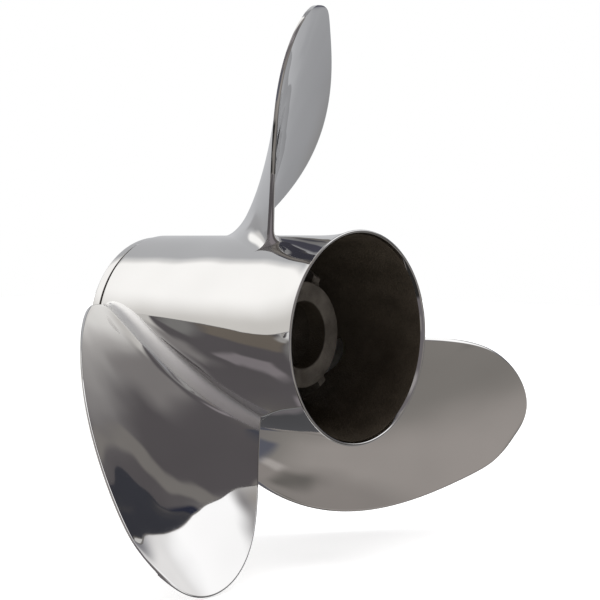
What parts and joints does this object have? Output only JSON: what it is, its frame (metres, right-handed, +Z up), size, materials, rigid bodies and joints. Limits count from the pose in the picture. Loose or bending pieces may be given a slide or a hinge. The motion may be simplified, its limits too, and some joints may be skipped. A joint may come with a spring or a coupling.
{
  "type": "outboard motor boat propeller",
  "caption": "Right-hand boat propeller for an outboard motor: polished blades on a barrel with a flared mouth, with exhaust passages round an inner hub.",
  "frame": {"origin": "on the shaft axis, in the plane of the inner hub's front face, where the drive hub enters", "axes": "+X aft along the shaft, +Y to starboard, +Z up along the first blade; seen from astern it turns clockwise"},
  "size_m": [0.16, 0.3257, 0.3053],
  "materials": {
    "polished_steel": "cast stainless steel, polished by hand to a mirror, not plated",
    "cast_steel": "cast stainless steel as it left the mould, blasted matt and dark"
  },
  "bodies": {
    "root": {"barrel": "polished_steel", "inner_hub": "cast_steel", "rib_1": "cast_steel", "rib_2": "cast_steel", "rib_3": "cast_steel", "blade_1": "polished_steel", "blade_2": "polished_steel", "blade_3": "polished_steel"}
  },
  "joints": []
}
